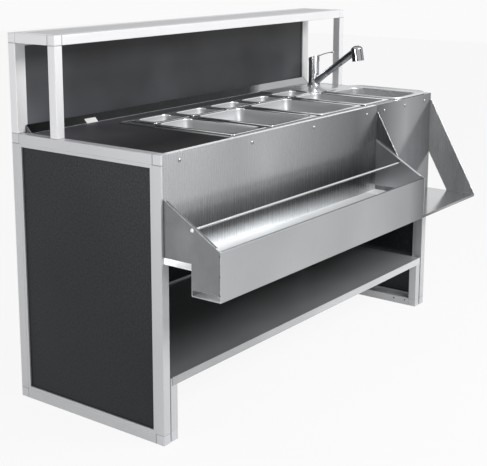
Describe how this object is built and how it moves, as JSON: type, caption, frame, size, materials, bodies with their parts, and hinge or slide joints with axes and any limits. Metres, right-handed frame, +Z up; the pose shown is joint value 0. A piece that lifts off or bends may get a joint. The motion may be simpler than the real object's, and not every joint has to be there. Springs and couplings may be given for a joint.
{
  "type": "bar sink station",
  "caption": "Bar work station with a sink and pull-out tap, lift-out ice bins and food pans, a riser, a two-tier bottle rail and a lower shelf.",
  "frame": {"origin": "centre of the station's box, on the floor", "axes": "+Z up, +X along the bar towards the sink end, -Y towards the bartender, where the bottle rail hangs"},
  "size_m": [1.6, 0.8, 1.16],
  "materials": {
    "profile_aluminium": "satin anodised, fine lengthwise brush",
    "corner_aluminium": "satin anodised cast corner",
    "side_panel": "dark board with a fine diagonal texture",
    "top_panel": "pale satin sheet",
    "gloss_panel": "black gloss board",
    "back_panel": "black laminate board",
    "worktop_laminate": "black laminate with a faint grain",
    "upstand_aluminium": "bright drawn trim",
    "end_cap": "pale moulded cap",
    "tray_steel": "lengthwise brush",
    "pan_steel": "deep drawn, satin",
    "well_steel": "satin",
    "foam": "rigid foam",
    "casing_steel": "mill finish",
    "sink_steel": "pressed, fine brush",
    "waste_chrome": "polished",
    "dark_plastic": "moulded",
    "white_plastic": "moulded",
    "tap_chrome": "polished",
    "brass_nut": "turned",
    "apron_steel": "upright brush",
    "rod_steel": "drawn bar",
    "screw_steel": "plated",
    "shelf_steel": "lengthwise brush"
  },
  "bodies": {
    "station": {"left_posts": "profile_aluminium", "left_rails": "profile_aluminium", "left_corner_cubes": "corner_aluminium", "left_infill_panel": "side_panel", "right_posts": "profile_aluminium", "right_rails": "profile_aluminium", "right_corner_cubes": "corner_aluminium", "right_infill_panel": "side_panel", "riser_posts": "profile_aluminium", "riser_long_rails": "profile_aluminium", "riser_short_rails": "profile_aluminium", "riser_corner_cubes": "corner_aluminium", "riser_top_panel": "top_panel", "riser_back_panel": "gloss_panel", "cross_rails": "profile_aluminium", "lower_back_panel": "back_panel", "worktop_left": "worktop_laminate", "worktop_back_strip": "worktop_laminate", "upstand_trim": "upstand_aluminium", "upstand_end_caps": "end_cap", "pan_frame": "tray_steel", "well_liner": "well_steel", "well_insulation": "foam", "well_casing": "casing_steel", "well_drain": "well_steel", "sink_unit": "sink_steel", "sink_waste": "waste_chrome", "waste_nut": "dark_plastic", "trap_body": "white_plastic", "trap_cup": "white_plastic", "tap_base": "tap_chrome", "tap_base_nut": "brass_nut", "rail_trough": "apron_steel", "rail_end_left": "apron_steel", "rail_end_right": "apron_steel", "rail_rod": "rod_steel", "rod_screws": "screw_steel", "apron_screws": "screw_steel", "bracket_shelf": "apron_steel", "bracket_side_left": "apron_steel", "bracket_side_right": "apron_steel", "lower_shelf": "shelf_steel", "shelf_stands": "profile_aluminium", "stand_corner_cubes": "corner_aluminium"},
    "pan_left_third": {"pan_left_third": "pan_steel"},
    "ice_bin_left": {"ice_bin_left": "pan_steel"},
    "ice_bin_right": {"ice_bin_right": "pan_steel"},
    "pan_right_third": {"pan_right_third": "pan_steel"},
    "small_pan_1": {"small_pan_1": "pan_steel"},
    "small_pan_2": {"small_pan_2": "pan_steel"},
    "small_pan_3": {"small_pan_3": "pan_steel"},
    "small_pan_4": {"small_pan_4": "pan_steel"},
    "small_pan_5": {"small_pan_5": "pan_steel"},
    "strainer": {"sink_strainer": "waste_chrome"},
    "tap_swivel": {"tap_body": "tap_chrome", "tap_cartridge": "white_plastic"},
    "lever_cap": {"lever_cap": "tap_chrome"},
    "lever_rod": {"lever_rod": "tap_chrome"},
    "spray": {"spray_handle": "tap_chrome"},
    "spray_button": {"spray_button": "dark_plastic"}
  },
  "joints": [
    {"name": "pan_left_third_lift", "type": "slide", "parent": "station", "child": "pan_left_third", "axis": [0, 0, 1], "range_m": [0, 0.17]},
    {"name": "ice_bin_left_lift", "type": "slide", "parent": "station", "child": "ice_bin_left", "axis": [0, 0, 1], "range_m": [0, 0.22]},
    {"name": "ice_bin_right_lift", "type": "slide", "parent": "station", "child": "ice_bin_right", "axis": [0, 0, 1], "range_m": [0, 0.22]},
    {"name": "pan_right_third_lift", "type": "slide", "parent": "station", "child": "pan_right_third", "axis": [0, 0, 1], "range_m": [0, 0.17]},
    {"name": "small_pan_1_lift", "type": "slide", "parent": "station", "child": "small_pan_1", "axis": [0, 0, 1], "range_m": [0, 0.12]},
    {"name": "small_pan_2_lift", "type": "slide", "parent": "station", "child": "small_pan_2", "axis": [0, 0, 1], "range_m": [0, 0.12]},
    {"name": "small_pan_3_lift", "type": "slide", "parent": "station", "child": "small_pan_3", "axis": [0, 0, 1], "range_m": [0, 0.12]},
    {"name": "small_pan_4_lift", "type": "slide", "parent": "station", "child": "small_pan_4", "axis": [0, 0, 1], "range_m": [0, 0.12]},
    {"name": "small_pan_5_lift", "type": "slide", "parent": "station", "child": "small_pan_5", "axis": [0, 0, 1], "range_m": [0, 0.12]},
    {"name": "strainer_lift", "type": "slide", "parent": "station", "child": "strainer", "axis": [0, 0, 1], "range_m": [0, 0.2]},
    {"name": "tap_swivel", "type": "hinge", "parent": "station", "child": "tap_swivel", "pos_m": [0.715, 0.285, 0.87], "axis": [0, 0, 1], "range_deg": [-90, 20]},
    {"name": "lever_turn", "type": "hinge", "parent": "tap_swivel", "child": "lever_cap", "pos_m": [0.715, 0.285, 0.95], "axis": [0, 0, 1], "range_deg": [-45, 30]},
    {"name": "lever_lift", "type": "hinge", "parent": "lever_cap", "child": "lever_rod", "pos_m": [0.715, 0.285, 0.9618], "axis": [-1, 0, 0], "range_deg": [0, 25]},
    {"name": "spray_pull", "type": "slide", "parent": "tap_swivel", "child": "spray", "axis": [0, -0.809, 0.5878], "range_m": [0, 0.4]},
    {"name": "spray_press", "type": "slide", "parent": "spray", "child": "spray_button", "axis": [0, -0.1736, -0.9848], "range_m": [0, 0.002], "stiffness_N_per_m": 300}
  ]
}
